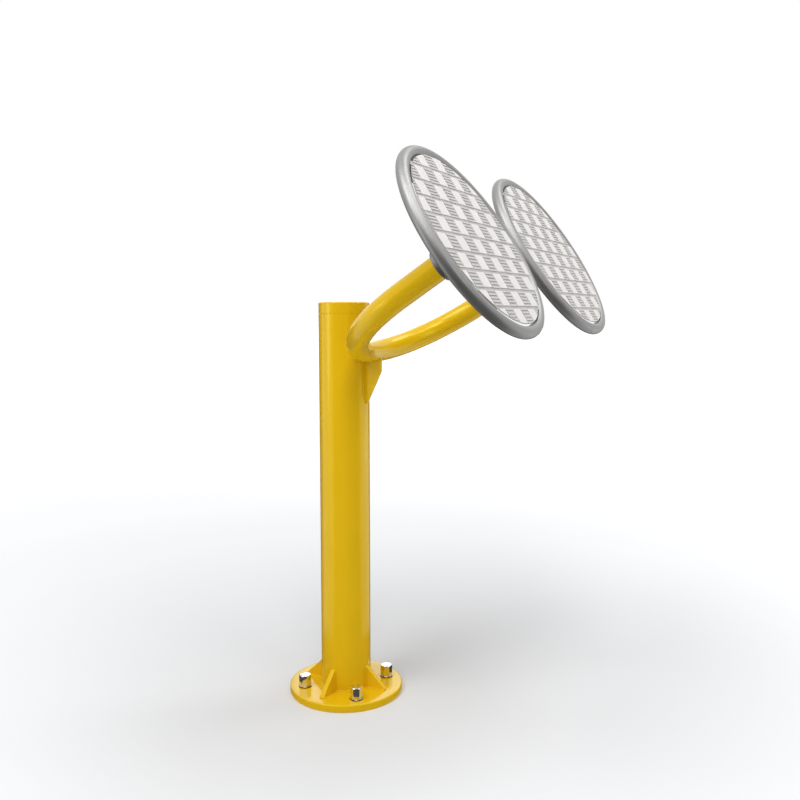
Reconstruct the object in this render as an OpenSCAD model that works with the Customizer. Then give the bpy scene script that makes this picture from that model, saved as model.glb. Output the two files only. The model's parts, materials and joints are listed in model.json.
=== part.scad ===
// Outdoor tai chi wheel: a bolted-down post carries a U-bent arm with a turning wheel on each end.
// Origin at the centre of the base plate's underside, +Z up. The user stands on the -Y side.

/* [Base] */
// Diameter of the round base plate
base_d = 320; // [300:1:420]
// Thickness of the base plate
base_t = 20; // [12:1:30]
// Rounding of the base plate's upper edge
base_edge_r = 3; // [1:0.5:5]
// Diameter of the circle through the anchor holes
bolt_pcd = 240; // [225:1:255]
// Diameter of each anchor hole
bolt_hole_d = 22; // [18:0.5:26]
// Number of base gussets, with an anchor hole between each two
gusset_count = 4; // [3:1:6]
// Thickness of the base gussets
gusset_t = 13; // [8:0.5:16]
// Height of the base gussets above the plate
gusset_h = 60; // [30:1:120]
// Reach of the base gussets from the post
gusset_foot = 60; // [35:1:70]
// Height of the blunt outer end of each base gusset
gusset_nose = 3; // [1:0.5:8]

/* [Anchors] */
// Nominal diameter of the anchor thread
anchor_d = 20; // [16:1:22]
// Outer diameter of the anchor washers
washer_d = 37; // [34:0.5:42]
// Thickness of the anchor washers
washer_t = 3; // [2:0.5:4]
// Width across the flats of the cap nuts
nut_af = 30; // [27:1:34]
// Height of a cap nut at its hexagon's corners
nut_corner_h = 29; // [22:1:30]
// Height of a cap nut at the middle of its dome
nut_h = 32; // [31:1:36]
// Depth of a cap nut's blind thread
nut_thread_h = 24; // [16:1:26]

/* [Post] */
// Outer diameter of the post
post_d = 139.7; // [114:0.1:168]
// Wall of the post
post_wall = 5; // [3:0.5:8]
// Height of the post's top above the ground
post_h = 1105; // [1080:1:1250]
// Height of the cap above its seam
cap_h = 31; // [20:1:50]
// Wall of the cap
cap_wall = 4; // [2:0.5:6]
// Rounding of the cap's upper edge
cap_edge_r = 3; // [1:0.5:4]
// Length of the cap's spigot inside the post
spigot_h = 25; // [12:1:40]
// Small chamfer on both sides of the cap's seam
seam_chamfer = 0.8; // [0.3:0.1:1.5]

/* [Arm] */
// Outer diameter of the arm tube
arm_d = 60.3; // [58:0.1:64]
// Wall of the arm tube
arm_wall = 3; // [2:0.5:4]
// Radius of the bend, which is also half the distance between the wheels
arm_bend_r = 264; // [256:1:320]
// Distance from the back of the bend to the plane of the rims
arm_depth = 482; // [450:1:560]
// Slope of the arm above the horizontal
arm_tilt = 32.4; // [20:0.1:45]
// Height of the arm tube where it meets the post
arm_z = 973; // [900:1:1010]
// Depth to which the arm tube is let into the post
saddle_depth = 6; // [2:0.5:10]
// Thickness of the gusset under the arm
arm_gusset_t = 8; // [5:0.5:12]
// Reach of the arm gusset from the post
arm_gusset_w = 49; // [35:1:52]
// Distance from the arm tube's centre down to the gusset's corner
arm_gusset_drop = 55; // [42:1:80]
// Distance from the arm tube's centre down to the gusset's tip
arm_gusset_h = 146; // [110:1:200]
// Blunt width of the gusset's tip
arm_gusset_nose = 4; // [2:0.5:8]
// Rounding of the arm gusset's outer corner
arm_gusset_r = 9; // [3:0.5:12]

/* [Wheel] */
// Outer diameter of the rim
rim_d = 500; // [460:1:508]
// Diameter of the rim's tube
rim_tube_d = 29; // [27:0.5:34]
// Wall of the rim's tube
rim_wall = 2.5; // [1.5:0.5:4]
// Diameter of the vent hole in the rim's back
rim_vent_d = 5; // [3:0.5:8]
// Distance from the rim's front down to the tread
face_inset = 2; // [1:0.5:4]
// Thickness of the carrier disc
carrier_t = 3; // [2:0.5:4]
// Thickness of the tread panel without its ribs
panel_t = 1; // [1:0.5:3]
// Gap between the tread panel's edge and the rim
rim_gap = 5; // [1:0.1:6]
// Width of the tabs that centre the tread panel in the rim
tab_w = 18; // [10:1:40]
// Number of webs that join the carrier disc to the rim, each with a tab above it
web_count = 4; // [3:1:6]
// Width of each web
web_w = 140; // [60:1:150]
// Depth of the drain openings between the webs
drain_w = 26; // [10:1:40]
// Turn of the webs about the wheel's axis, in degrees
web_turn = 37; // [0:1:89]

/* [Tread] */
// Spacing of the tread's cells, both ways
cell = 44.4; // [43.5:0.1:50]
// Width of a smooth pad
pad_w = 42.4; // [30:0.1:43]
// Height of a smooth pad
pad_h = 36.6; // [25:0.1:42]
// Rounding of a pad's corners
pad_r = 1.5; // [0.5:0.1:4]
// Height of pads and ribs above the panel
tread_h = 1.5; // [0.8:0.1:2.5]
// Length of a rib
rib_len = 39.4; // [25:0.1:43]
// Width of a rib
rib_w = 4.2; // [2.5:0.1:6]
// Spacing of the ribs
rib_pitch = 8.5; // [6.5:0.1:8.8]
// Number of ribs in a cell
rib_count = 5; // [2:1:5]
// Sideways shift of the pattern from the wheel's centre
tread_shift_x = -19; // [-40:0.5:40]
// Shift of the pattern up the slope from the wheel's centre
tread_shift_y = -23; // [-40:0.5:40]
// Plain border around the pattern
tread_border = 0.6; // [0.3:0.1:5]

/* [Hub] */
// Outer diameter of the hub
hub_d = 76; // [68:1:90]
// Distance from the rim's plane back to the hub's end
hub_reach = 96; // [90:1:130]
// Diameter of the hub's flange
flange_d = 150; // [120:1:200]
// Thickness of the hub's flange
flange_t = 5; // [4:0.5:10]
// Diameter of the circle through the flange screws
screw_pcd = 120; // [100:1:128]
// Number of flange screws
screw_count = 6; // [4:1:8]
// Diameter of the flange screws
screw_d = 6; // [4:1:8]
// Bore of the ball bearings
bearing_bore = 25; // [24:1:26]
// Outer diameter of the ball bearings
bearing_d = 52; // [50:1:56]
// Width of the ball bearings
bearing_w = 15; // [12:1:16]
// Number of balls in a bearing
ball_count = 9; // [7:1:9]
// Diameter of the balls
ball_d = 7.9; // [6:0.1:8.2]
// Depth of the nut's space in front of the front bearing
nut_space = 30; // [27:1:34]
// Height of the shoulder between the two bearings
shoulder_h = 2.5; // [1.5:0.5:4]
// Thickness of the dust seal
seal_t = 5; // [3:0.5:7]
// Thickness of the retaining ring
clip_t = 2; // [1.5:0.1:2.5]
// Radial width of the retaining ring
clip_w = 3.5; // [2.5:0.5:5]
// Depth of the retaining ring's groove
clip_groove = 1.2; // [0.8:0.1:2]

/* [Spindle] */
// Diameter of the collar that the rear bearing seats on
collar_d = 32; // [30:1:34]
// Diameter of the spindle's threaded end
spindle_thread_d = 20; // [16:1:22]
// Thickness of the spindle nut
spindle_nut_t = 14; // [10:1:16]
// Width across the flats of the spindle nut
spindle_nut_af = 30; // [27:1:34]
// Outer diameter of the spindle washer
spindle_washer_d = 36; // [34:1:42]
// Length of thread that stands out of the spindle nut
thread_end = 3; // [1:0.5:6]
// Length of the plug in the arm tube's end
plug_l = 40; // [30:1:60]
// Length of spindle that stands out behind the plug
tail_l = 5; // [2:1:10]
// Diameter of the cross pin
pin_d = 8; // [6:0.5:10]

/* [Fits] */
// Gap between pieces that are welded or seated together
seat_gap = 0.3; // [0.2:0.05:0.5]
// Radial clearance of seats and screws that are pressed or driven in
press_gap = 0.02; // [0.01:0.01:0.05]
// Clearance of a ball in its raceway
ball_gap = 0.05; // [0.03:0.01:0.08]
// Clearance of a ball in the cage's pocket
pocket_gap = 0.2; // [0.1:0.05:0.3]
// Running gap between turning and fixed faces
run_gap = 1; // [0.5:0.1:2]

/* [Hidden] */
$fn = 96;

// Overrun of cuts past the faces that they open
over = 2;
// Clearance of anchors in their washers
anchor_play = 0.5;
// Clearance of a screw head in its countersink
head_gap = 0.1;
// Thickness of the cap's spigot
spigot_wall = 3;
// Gap between the hub's seal and the spindle's collar
seal_gap = 0.3;
// Share of the thread's diameter that is left inside a tapped hole
tapped_share = 0.87;
// Share of the ball's radius by which the races' shoulders stand off the balls' circle
race_share = 0.6;
// Share of the ball's radius by which the cage stands to each side of the balls' circle
cage_share = 0.26;
// Share of the bearing's width that the cage takes
cage_w_share = 0.62;
// Opening of the retaining ring, in degrees
clip_open = 40;
// Steepness of a countersunk head: its radius grows by as much as its height
head_slope = 1;

// Post and base
post_r = post_d / 2;
post_bore_r = post_r - post_wall;
seam_z = post_h - cap_h;
post_top = seam_z - seat_gap;
spigot_r = post_bore_r - seat_gap;
gusset_end = post_r + gusset_foot;

// Arm: its plane leans back by the tilt, and its own frame has z along the wheels' axis
arm_r = arm_d / 2;
arm_bore_r = arm_r - arm_wall;
arm_y = -(post_r + arm_r - saddle_depth);
wheel_y = arm_y - arm_depth * cos(arm_tilt);
wheel_z = arm_z + arm_depth * sin(arm_tilt);
arm_centre = arm_bend_r - arm_depth;

// Wheel: distances along its axis, zero at the rim's plane, plus towards the user
rim_tube_r = rim_tube_d / 2;
rim_r = rim_d / 2 - rim_tube_r;
tread_top = rim_tube_r - face_inset;
panel_top = tread_top - tread_h;
panel_back = panel_top - panel_t;
carrier_back = panel_back - carrier_t;
flange_back = carrier_back - flange_t;
hub_back = -hub_reach;
seat_r = rim_r - sqrt(pow(rim_tube_r, 2) - pow(panel_back, 2));
panel_edge_r = seat_r - rim_gap;
tab_r = seat_r - seat_gap;
drain_r = seat_r - drain_w;
pattern_r = panel_edge_r - tread_border;
cells_out = ceil((pattern_r + abs(tread_shift_x) + abs(tread_shift_y)) / cell);

// Bearings
hub_r = hub_d / 2;
bearing_r = bearing_d / 2;
shoulder_r = bearing_r - shoulder_h;
rear_bearing = hub_back + seal_t;
front_bearing = carrier_back - nut_space - bearing_w;
front_face = front_bearing + bearing_w;
ball_r = ball_d / 2;
ball_circle_r = (bearing_bore / 2 + bearing_r) / 2;
inner_race_r = ball_circle_r - race_share * ball_r;
outer_race_r = ball_circle_r + race_share * ball_r;
spindle_r = bearing_bore / 2 - press_gap;
thread_r = spindle_thread_d / 2;
arm_end = hub_back - run_gap;
plug_r = arm_bore_r - press_gap;
washer_top = front_face + washer_t;
nut_front = washer_top + spindle_nut_t;
head_r = screw_d / 2 + head_slope * carrier_t;

// Places a child in the left (-1) or right (1) wheel's frame
module at_wheel(side) {
  translate([side * arm_bend_r, wheel_y, wheel_z])
    rotate([90 - arm_tilt, 0, 0])
      children();
}

// Places a child in the arm's frame, midway between the wheels
module at_arm() {
  translate([0, wheel_y, wheel_z])
    rotate([90 - arm_tilt, 0, 0])
      children();
}

module around(count, radius, start = 0) {
  for (i = [0 : count - 1])
    rotate([0, 0, start + i * 360 / count])
      translate([radius, 0, 0])
        children();
}

module tube(r_out, r_in, z0, z1) {
  translate([0, 0, z0])
    linear_extrude(z1 - z0)
      difference() {
        circle(r_out);
        circle(r_in);
      }
}

module rod(r, z0, z1) {
  translate([0, 0, z0])
    cylinder(h = z1 - z0, r = r);
}

module torus(ring_r, r) {
  rotate_extrude()
    translate([ring_r, 0])
      circle(r);
}

// U shape of the arm, solid, with its radius grown by more
module arm_envelope(more) {
  rotate([-90, 0, 0])
    translate([0, -arm_centre, 0])
      rotate_extrude(angle = 180)
        translate([arm_bend_r, 0])
          circle(arm_r + more);
}

module base_plate() {
  color("gold")
    difference() {
      rotate_extrude()
        union() {
          square([base_d / 2, base_t - base_edge_r]);
          square([base_d / 2 - base_edge_r, base_t]);
          translate([base_d / 2 - base_edge_r, base_t - base_edge_r])
            circle(base_edge_r);
        }
      around(gusset_count, bolt_pcd / 2, 180 / gusset_count)
        rod(bolt_hole_d / 2, -over, base_t + over);
    }
}

module base_gusset() {
  difference() {
    rotate([90, 0, 0])
      translate([0, 0, -gusset_t / 2])
        linear_extrude(gusset_t)
          polygon([
            [post_bore_r, base_t],
            [gusset_end, base_t],
            [gusset_end, base_t + gusset_nose],
            [post_r, base_t + gusset_h],
            [post_bore_r, base_t + gusset_h]
          ]);
    rod(post_r + seat_gap, 0, base_t + gusset_h + over);
  }
}

module base_gussets() {
  color("gold")
    for (i = [0 : gusset_count - 1])
      rotate([0, 0, 180 + i * 360 / gusset_count])
        base_gusset();
}

module post() {
  color("gold")
    difference() {
      rotate_extrude()
        polygon([
          [post_bore_r, base_t],
          [post_r, base_t],
          [post_r, post_top - seam_chamfer],
          [post_r - seam_chamfer, post_top],
          [post_bore_r, post_top]
        ]);
      at_arm()
        arm_envelope(seat_gap);
    }
}

module post_cap() {
  color("gold")
    rotate_extrude()
      difference() {
        union() {
          translate([0, seam_z - spigot_h])
            square([spigot_r, spigot_h + cap_wall]);
          polygon([
            [0, seam_z],
            [post_r - seam_chamfer, seam_z],
            [post_r, seam_z + seam_chamfer],
            [post_r, post_h - cap_edge_r],
            [post_r - cap_edge_r, post_h - cap_edge_r],
            [post_r - cap_edge_r, post_h],
            [0, post_h]
          ]);
          translate([post_r - cap_edge_r, post_h - cap_edge_r])
            circle(cap_edge_r);
        }
        translate([0, seam_z - spigot_h - over])
          square([spigot_r - spigot_wall, spigot_h + over + cap_h - cap_wall]);
      }
}

module arm_tube() {
  color("gold")
    at_arm()
      union() {
        rotate([-90, 0, 0])
          translate([0, -arm_centre, 0])
            rotate_extrude(angle = 180)
              translate([arm_bend_r, 0])
                difference() {
                  circle(arm_r);
                  circle(arm_bore_r);
                }
        for (side = [-1, 1])
          translate([side * arm_bend_r, 0, 0])
            tube(arm_r, arm_bore_r, arm_centre, arm_end);
      }
}

// Outline in the plane across the wheels' midline: x away from the post, y up
module arm_gusset_outline() {
  corner = [post_r + arm_gusset_w, arm_z - arm_gusset_drop];
  nose = [post_r + arm_gusset_nose, arm_z - arm_gusset_h];
  slant = atan2(corner[0] - nose[0], corner[1] - nose[1]);
  back = arm_gusset_r * tan(slant / 2);
  difference() {
    polygon([
      [post_bore_r, arm_z - arm_gusset_h],
      nose,
      corner,
      [corner[0], arm_z],
      [post_bore_r, arm_z]
    ]);
    // Rounds the outer corner: the tip is cut off and a disc's arc takes its place
    difference() {
      polygon([
        corner,
        corner + [0, back],
        corner + [-arm_gusset_r, back],
        corner - back * [sin(slant), cos(slant)]
      ]);
      translate(corner + [-arm_gusset_r, back])
        circle(arm_gusset_r);
    }
  }
}

module arm_gusset() {
  color("gold")
    difference() {
      rotate([90, 0, -90])
        translate([0, 0, -arm_gusset_t / 2])
          linear_extrude(arm_gusset_t)
            arm_gusset_outline();
      rod(post_r + seat_gap, 0, post_h);
      at_arm()
        arm_envelope(seat_gap);
    }
}

module anchor_washers() {
  color("silver")
    around(gusset_count, bolt_pcd / 2, 180 / gusset_count)
      tube(washer_d / 2, anchor_d / 2 + anchor_play, base_t, base_t + washer_t);
}

// Hexagon nut under a low dome, its thread blind
module cap_nut() {
  corner_r = nut_af / 2 / cos(30);
  rise = nut_h - nut_corner_h;
  dome_r = (corner_r * corner_r + rise * rise) / (2 * rise);
  difference() {
    intersection() {
      cylinder(h = nut_h + over, r = corner_r, $fn = 6);
      union() {
        translate([0, 0, nut_h - dome_r])
          sphere(dome_r);
        if (nut_h > dome_r)
          rod(dome_r, 0, nut_h - dome_r);
      }
    }
    rod(tapped_share * anchor_d / 2, -over, nut_thread_h);
  }
}

// All the nuts are tightened to the same turn, with corners along X
module anchor_cap_nuts() {
  color("silver")
    for (i = [0 : gusset_count - 1]) {
      turn = (i + 0.5) * 360 / gusset_count;
      rotate([0, 0, turn])
        translate([bolt_pcd / 2, 0, base_t + washer_t])
          rotate([0, 0, -turn])
            cap_nut();
    }
}

module cross_hole(r, reach) {
  translate([0, 0, arm_end - plug_l / 2])
    rotate([90, 0, 0])
      rod(r, -reach, reach);
}

module end_plug(side) {
  color("dimgray")
    at_wheel(side)
      difference() {
        tube(plug_r, bearing_bore / 2, arm_end - plug_l, arm_end);
        cross_hole(pin_d / 2 + press_gap, plug_r + over);
      }
}

module spindle(side) {
  color("lightsteelblue")
    at_wheel(side)
      difference() {
        union() {
          rod(spindle_r, arm_end - plug_l - tail_l, arm_end);
          rod(collar_d / 2, arm_end, rear_bearing);
          rod(spindle_r, rear_bearing, front_face);
          rod(thread_r, front_face, nut_front + thread_end);
        }
        cross_hole(pin_d / 2 + press_gap, collar_d);
      }
}

module cross_pin(side) {
  color("dimgray")
    at_wheel(side)
      cross_hole(pin_d / 2, plug_r - run_gap);
}

module raceway() {
  torus(ball_circle_r, ball_r + ball_gap);
}

module inner_races(side) {
  color("lightgray")
    at_wheel(side)
      for (z = [rear_bearing, front_bearing])
        translate([0, 0, z])
          difference() {
            tube(inner_race_r, bearing_bore / 2, 0, bearing_w);
            translate([0, 0, bearing_w / 2])
              raceway();
          }
}

module outer_races(side) {
  color("lightgray")
    at_wheel(side)
      for (z = [rear_bearing, front_bearing])
        translate([0, 0, z])
          difference() {
            tube(bearing_r - press_gap, outer_race_r, 0, bearing_w);
            translate([0, 0, bearing_w / 2])
              raceway();
          }
}

module balls(side) {
  color("white")
    at_wheel(side)
      for (z = [rear_bearing, front_bearing])
        translate([0, 0, z + bearing_w / 2])
          around(ball_count, ball_circle_r)
            sphere(ball_r);
}

module cages(side) {
  cage_w = cage_w_share * bearing_w;
  color("goldenrod")
    at_wheel(side)
      for (z = [rear_bearing, front_bearing])
        translate([0, 0, z + bearing_w / 2])
          difference() {
            tube(ball_circle_r + cage_share * ball_r, ball_circle_r - cage_share * ball_r,
                 -cage_w / 2, cage_w / 2);
            around(ball_count, 0)
              rotate([0, 90, 0])
                rod(ball_r + pocket_gap, ball_circle_r - ball_r, ball_circle_r + ball_r);
          }
}

module spacer(side) {
  color("gray")
    at_wheel(side)
      tube(inner_race_r - press_gap, bearing_bore / 2, rear_bearing + bearing_w, front_bearing);
}

module spindle_washer(side) {
  color("silver")
    at_wheel(side)
      tube(spindle_washer_d / 2, thread_r + press_gap, front_face, washer_top);
}

module spindle_nut(side) {
  color("silver")
    at_wheel(side)
      difference() {
        translate([0, 0, washer_top])
          cylinder(h = spindle_nut_t, r = spindle_nut_af / 2 / cos(30), $fn = 6);
        rod(thread_r + press_gap, washer_top - over, nut_front + over);
      }
}

module rim(side) {
  color("gray")
    at_wheel(side)
      difference() {
        rotate_extrude()
          translate([rim_r, 0])
            difference() {
              circle(rim_tube_r);
              circle(rim_tube_r - rim_wall);
            }
        translate([0, -rim_r, 0])
          rod(rim_vent_d / 2, -rim_tube_r - over, 0);
      }
}

// Bars of a given width from the wheel's centre, one to each web
module web_bars(width) {
  around(web_count, 0, web_turn)
    translate([0, -width / 2])
      square([rim_r, width]);
}

module carrier(side) {
  color("darkgray")
    at_wheel(side)
      difference() {
        rod(rim_r, carrier_back, panel_back);
        torus(rim_r, rim_tube_r + seat_gap);
        translate([0, 0, carrier_back - over])
          linear_extrude(carrier_t + 2 * over)
            difference() {
              circle(rim_r);
              circle(drain_r);
              web_bars(web_w);
            }
        around(screw_count, screw_pcd / 2) {
          screw_shape(head_gap);
          rod(head_r + head_gap, panel_back, panel_back + over);
        }
      }
}

// Countersunk screw whose head fills the carrier disc's thickness
module screw_shape(more) {
  rod(screw_d / 2 + more, flange_back, carrier_back);
  translate([0, 0, carrier_back])
    cylinder(h = carrier_t, r1 = screw_d / 2 + more, r2 = head_r + more);
}

module hub(side) {
  color("gray")
    at_wheel(side)
      difference() {
        union() {
          rod(hub_r, hub_back, flange_back + flange_t);
          rod(flange_d / 2, flange_back, carrier_back);
        }
        rod(bearing_r, hub_back - over, rear_bearing + bearing_w);
        rod(shoulder_r, hub_back, front_bearing + over);
        rod(bearing_r, front_bearing, carrier_back + over);
        rod(bearing_r + clip_groove, front_face, front_face + clip_t + seat_gap);
        around(screw_count, screw_pcd / 2)
          rod(screw_d / 2 + press_gap, flange_back - over, carrier_back + over);
      }
}

module retaining_ring(side) {
  color("dimgray")
    at_wheel(side)
      difference() {
        tube(bearing_r + clip_groove - seat_gap, bearing_r + clip_groove - seat_gap - clip_w,
             front_face, front_face + clip_t);
        translate([0, 0, front_face - over])
          linear_extrude(clip_t + 2 * over)
            polygon([
              [0, 0],
              bearing_d * [cos(clip_open / 2), sin(clip_open / 2)],
              bearing_d * [cos(clip_open / 2), -sin(clip_open / 2)]
            ]);
      }
}

module dust_seal(side) {
  color("black")
    at_wheel(side)
      tube(bearing_r - press_gap, collar_d / 2 + seal_gap, hub_back, rear_bearing);
}

// Centres of the cells of one kind, pads (0) or ribs (1), that reach into the round pattern
function cells(kind) = [
  for (i = [-cells_out : cells_out], j = [-cells_out : cells_out])
    let (c = [tread_shift_x + i * cell, tread_shift_y + j * cell])
      if (abs((i + j) % 2) == kind && norm(c) < pattern_r + cell / 4)
        c
];

module pad_outline() {
  for (turn = [0, 1])
    square([pad_w - turn * 2 * pad_r, pad_h - (1 - turn) * 2 * pad_r], center = true);
  for (x = [-1, 1], y = [-1, 1])
    translate([x * (pad_w / 2 - pad_r), y * (pad_h / 2 - pad_r)])
      circle(pad_r);
}

module rib_outlines() {
  for (k = [0 : rib_count - 1])
    translate([0, (k - (rib_count - 1) / 2) * rib_pitch])
      square([rib_len, rib_w], center = true);
}

module tread_panel(side) {
  color("darkgray")
    at_wheel(side) {
      translate([0, 0, panel_back])
        linear_extrude(panel_t)
          union() {
            circle(panel_edge_r);
            intersection() {
              circle(tab_r);
              web_bars(tab_w);
            }
          }
      translate([0, 0, panel_top])
        linear_extrude(tread_h)
          intersection() {
            circle(pattern_r);
            for (c = cells(1))
              translate(c)
                rib_outlines();
          }
    }
}

module tread_pads(side) {
  color("whitesmoke")
    at_wheel(side)
      translate([0, 0, panel_top])
        linear_extrude(tread_h)
          intersection() {
            circle(pattern_r);
            for (c = cells(0))
              translate(c)
                pad_outline();
          }
}

module flange_screws(side) {
  color("silver")
    at_wheel(side)
      around(screw_count, screw_pcd / 2)
        screw_shape(0);
}

base_plate();
base_gussets();
post();
post_cap();
arm_tube();
arm_gusset();
anchor_washers();
anchor_cap_nuts();
end_plug(-1);  // end_plug_left
end_plug(1);  // end_plug_right
spindle(-1);  // spindle_left
spindle(1);  // spindle_right
cross_pin(-1);  // cross_pin_left
cross_pin(1);  // cross_pin_right
inner_races(-1);  // inner_races_left
inner_races(1);  // inner_races_right
balls(-1);  // balls_left
balls(1);  // balls_right
cages(-1);  // cages_left
cages(1);  // cages_right
spacer(-1);  // spacer_left
spacer(1);  // spacer_right
spindle_washer(-1);  // spindle_washer_left
spindle_washer(1);  // spindle_washer_right
spindle_nut(-1);  // spindle_nut_left
spindle_nut(1);  // spindle_nut_right
rim(-1);  // rim_left
rim(1);  // rim_right
carrier(-1);  // carrier_left
carrier(1);  // carrier_right
hub(-1);  // hub_left
hub(1);  // hub_right
outer_races(-1);  // outer_races_left
outer_races(1);  // outer_races_right
retaining_ring(-1);  // retaining_ring_left
retaining_ring(1);  // retaining_ring_right
dust_seal(-1);  // dust_seal_left
dust_seal(1);  // dust_seal_right
tread_panel(-1);  // tread_panel_left
tread_panel(1);  // tread_panel_right
tread_pads(-1);  // tread_pads_left
tread_pads(1);  // tread_pads_right
flange_screws(-1);  // flange_screws_left
flange_screws(1);  // flange_screws_right
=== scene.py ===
import json
import math

import bmesh
import bpy
from mathutils import Matrix, Vector


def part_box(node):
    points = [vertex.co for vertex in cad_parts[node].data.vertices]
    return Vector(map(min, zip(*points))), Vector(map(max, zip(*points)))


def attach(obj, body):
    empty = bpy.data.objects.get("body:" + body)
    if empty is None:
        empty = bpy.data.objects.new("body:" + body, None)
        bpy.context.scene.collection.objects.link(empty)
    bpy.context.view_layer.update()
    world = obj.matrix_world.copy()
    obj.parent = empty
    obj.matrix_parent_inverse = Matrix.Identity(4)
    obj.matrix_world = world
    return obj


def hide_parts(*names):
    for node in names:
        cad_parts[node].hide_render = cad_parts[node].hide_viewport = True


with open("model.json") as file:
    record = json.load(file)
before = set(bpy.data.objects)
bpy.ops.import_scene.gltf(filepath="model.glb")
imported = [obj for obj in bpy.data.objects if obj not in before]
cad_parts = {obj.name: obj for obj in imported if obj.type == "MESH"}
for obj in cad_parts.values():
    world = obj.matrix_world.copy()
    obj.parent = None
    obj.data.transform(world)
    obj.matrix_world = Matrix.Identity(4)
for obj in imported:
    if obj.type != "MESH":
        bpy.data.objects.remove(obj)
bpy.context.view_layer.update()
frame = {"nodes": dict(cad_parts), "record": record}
record = frame["record"]
scene = bpy.context.scene
X, Y, Z = 0, 1, 2


# Sizes in metres and places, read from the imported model

def highest(name, axis, digits=4):
    """The highest coordinate of a node along an axis, without what its facets lose."""
    return round(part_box(name)[1][axis], digits)


joints = {joint["name"]: joint for joint in record["behaviour"]["joints"]}
mounts = {mount["name"]: mount for mount in record["mounts"]}
PIVOT = joints["right_wheel_turn"]["pos_m"]
AXIS = joints["right_wheel_turn"]["axis"]

BASE_R = highest("base_plate", X)
BASE_T = highest("base_plate", Z)
BOLT_R = mounts["base_bolts"]["dims"]["pcd_mm"] / 2000
POST_R = highest("post", X, digits=5)
POST_H = highest("post_cap", Z)
SEAM_GAP = 0.0003
SEAM_Z = round(highest("post", Z) + SEAM_GAP, 4)
GUSSET_END = highest("base_gussets", X, digits=5)
GUSSET_TOP = highest("base_gussets", Z)

# The arm is a U in a tilted plane: its bend is let into the post, its legs end behind the wheels
SADDLE = 0.006
BEND_R = PIVOT[X]
ARM_R = round(highest("arm_tube", X, digits=5) - BEND_R, 5)
ARM_Y = -(POST_R + ARM_R - SADDLE)
TILT = math.radians(round(math.degrees(math.atan2(AXIS[Z], -AXIS[Y])), 2))
DEPTH = round((ARM_Y - PIVOT[Y]) / math.cos(TILT), 4)
ARM_Z = round(PIVOT[Z] - DEPTH * math.sin(TILT), 4)
WHEEL_Y = ARM_Y - DEPTH * math.cos(TILT)
WHEEL_Z = ARM_Z + DEPTH * math.sin(TILT)
BEND_MIDDLE = BEND_R - DEPTH

# Heights of a wheel's faces along its own axis, from the rim's middle plane
TREAD_TOP = 0.0125
PANEL_TOP = 0.011
CARRIER_BACK = 0.007
FLANGE_BACK = 0.002
HUB_BACK = -0.096

# The other sizes of a wheel: its rim's tube, its hub, and the webs from the carrier disc to the rim
TUBE_R = 0.0145
RIM_R = round(highest("rim_right", X) - BEND_R - TUBE_R, 4)
HUB_R = 0.038
HUB_FILLET_R = 0.004
WEB_HALF = 0.070
WEB_TURN = 37

# The stand's trim: the post's wall, its cap, softened edges and the base gussets
POST_WALL = 0.005
CAP_PLAY = 0.0003
CAP_WALL = 0.003
CAP_SKIRT_H = 0.025
CAP_EDGE_R = 0.003
EASE = 0.0004
BASE_EASE = 0.0008
BASE_EDGE_R = 0.003
GUSSET_T = 0.013
GUSSET_NOSE = 0.003
GUSSET_LET_IN = 0.0012
GUSSET_BEVEL = 0.0009

# The arm gusset reaches out from the post and down from the middle of the bend
ARM_GUSSET_T = 0.008
ARM_GUSSET_REACH = 0.049
ARM_GUSSET_NOSE = 0.004
ARM_GUSSET_TOP = 0.0155
ARM_GUSSET_CORNER = 0.055
ARM_GUSSET_LOW = 0.146
ARM_GUSSET_CORNER_R = 0.009

# An anchor's washer and cap nut; the nut's foot and crown are turned to one radius
WASHER_R = 0.0185
WASHER_BORE_R = 0.0105
WASHER_T = 0.003
WASHER_EASE = 0.0003
NUT_H = 0.032
NUT_HALF = 0.015
NUT_ROUND_R = 0.0144
NUT_DOME = 0.0008

# Segments of round forms, and the angle from which an edge counts as sharp
POST_SEGMENTS = 256
ARM_SEGMENTS = 96
BEND_STEPS = 180
RIM_SEGMENTS = 320
RIM_TUBE_SEGMENTS = 64
HUB_SEGMENTS = 128
WASHER_SEGMENTS = 96
NUT_SEGMENTS = 144
SHARP = math.radians(36)

# Weld beads: the spacing of their points and ripples, how many points an end tapers over, and
# how far their middle stands off the steel
BEAD_SIDES = 10
BEAD_STEP = 0.0008
BEAD_PITCH = 0.004
BEAD_TAPER = 4.0
BEAD_OUT = 0.0004
SADDLE_POINTS = 420
SADDLE_SPACING = 0.0006


def tilted_frame(x=0.0):
    """The frame of the arm, or of a wheel at x: its z axis stands out of the wheels' plane."""
    return Matrix.Translation((x, WHEEL_Y, WHEEL_Z)) @ Matrix.Rotation(math.pi / 2 - TILT, 4, "X")


def quarter_turn(k):
    """A turn of k quarters about the post's axis."""
    return Matrix.Rotation(math.pi / 2 * k, 4, "Z")


ARM = tilted_frame()
WHEELS = {"left": tilted_frame(-BEND_R), "right": tilted_frame(BEND_R)}
NORMAL = Vector((0, -math.cos(TILT), math.sin(TILT)))
UPRIGHT = Matrix.Rotation(math.pi / 2, 4, "X")


# Camera, at the photograph's angle

CAMERA_AT = (-2.01316, -1.25447, 1.07284)
CAMERA_DOWN = 5.7625
CAMERA_TURN = -61.813
CAMERA_LENS = 38.367


def set_camera():
    """The camera at the photograph's viewpoint, and the plain view transform."""
    data = bpy.data.cameras.new("Camera")
    data.sensor_width = 36.0
    data.lens = CAMERA_LENS
    data.clip_end = 200
    camera = bpy.data.objects.new("Camera", data)
    camera.location = CAMERA_AT
    camera.rotation_euler = (math.radians(90 - CAMERA_DOWN), 0, math.radians(CAMERA_TURN))
    scene.collection.objects.link(camera)
    scene.camera = camera
    scene.view_settings.view_transform = "Standard"


# Helpers for material nodes

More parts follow.
